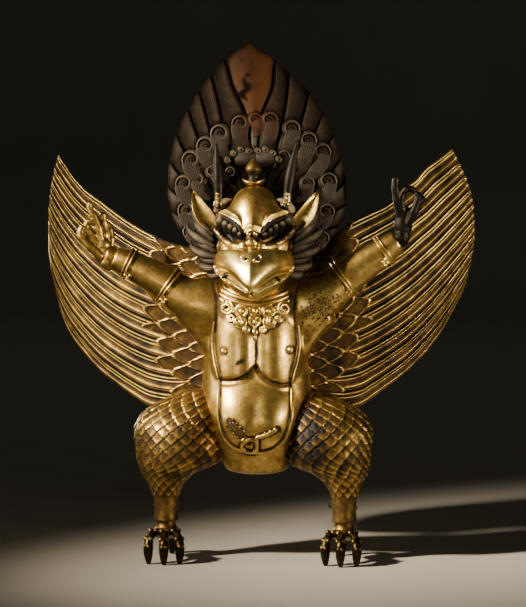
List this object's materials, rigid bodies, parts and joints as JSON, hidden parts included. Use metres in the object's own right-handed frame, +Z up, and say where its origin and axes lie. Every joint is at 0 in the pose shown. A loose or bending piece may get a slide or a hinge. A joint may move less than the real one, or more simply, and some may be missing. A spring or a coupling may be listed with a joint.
{
  "type": "garuda figure",
  "caption": "Standing bird-man figure in gilded copper sheet, with spread wings, raised arms, scaled legs, clawed feet and a tall leaf of curled hair behind the beaked head.",
  "frame": {"origin": "on the floor, under the middle of the figure's bounding box", "axes": "+Z up, the figure faces -Y, +X is to the viewer's right"},
  "size_m": [0.5938, 0.2304, 0.7],
  "materials": {
    "gilt_copper": "fire-gilt copper sheet, polished on the high places and brown in the grooves",
    "worn_gilt_copper": "cast copper with gilding worn down to brown metal, claws nearly black",
    "dark_copper": "bare copper with a dark brown patina",
    "painted_hair": "copper with worn matt grey-brown and orange paint over the hair"
  },
  "bodies": {
    "root": {"torso": "gilt_copper", "head": "gilt_copper", "crest": "painted_hair", "topknot": "gilt_copper", "left_leg": "gilt_copper", "left_foot": "worn_gilt_copper", "left_ankle_pin": "dark_copper", "left_hand": "gilt_copper", "left_wing": "gilt_copper", "left_horn": "dark_copper", "left_armlet": "gilt_copper", "left_bracelet": "gilt_copper", "right_leg": "gilt_copper", "right_foot": "worn_gilt_copper", "right_ankle_pin": "dark_copper", "right_hand": "dark_copper", "right_wing": "gilt_copper", "right_horn": "dark_copper", "right_armlet": "gilt_copper", "right_bracelet": "gilt_copper"}
  },
  "joints": []
}
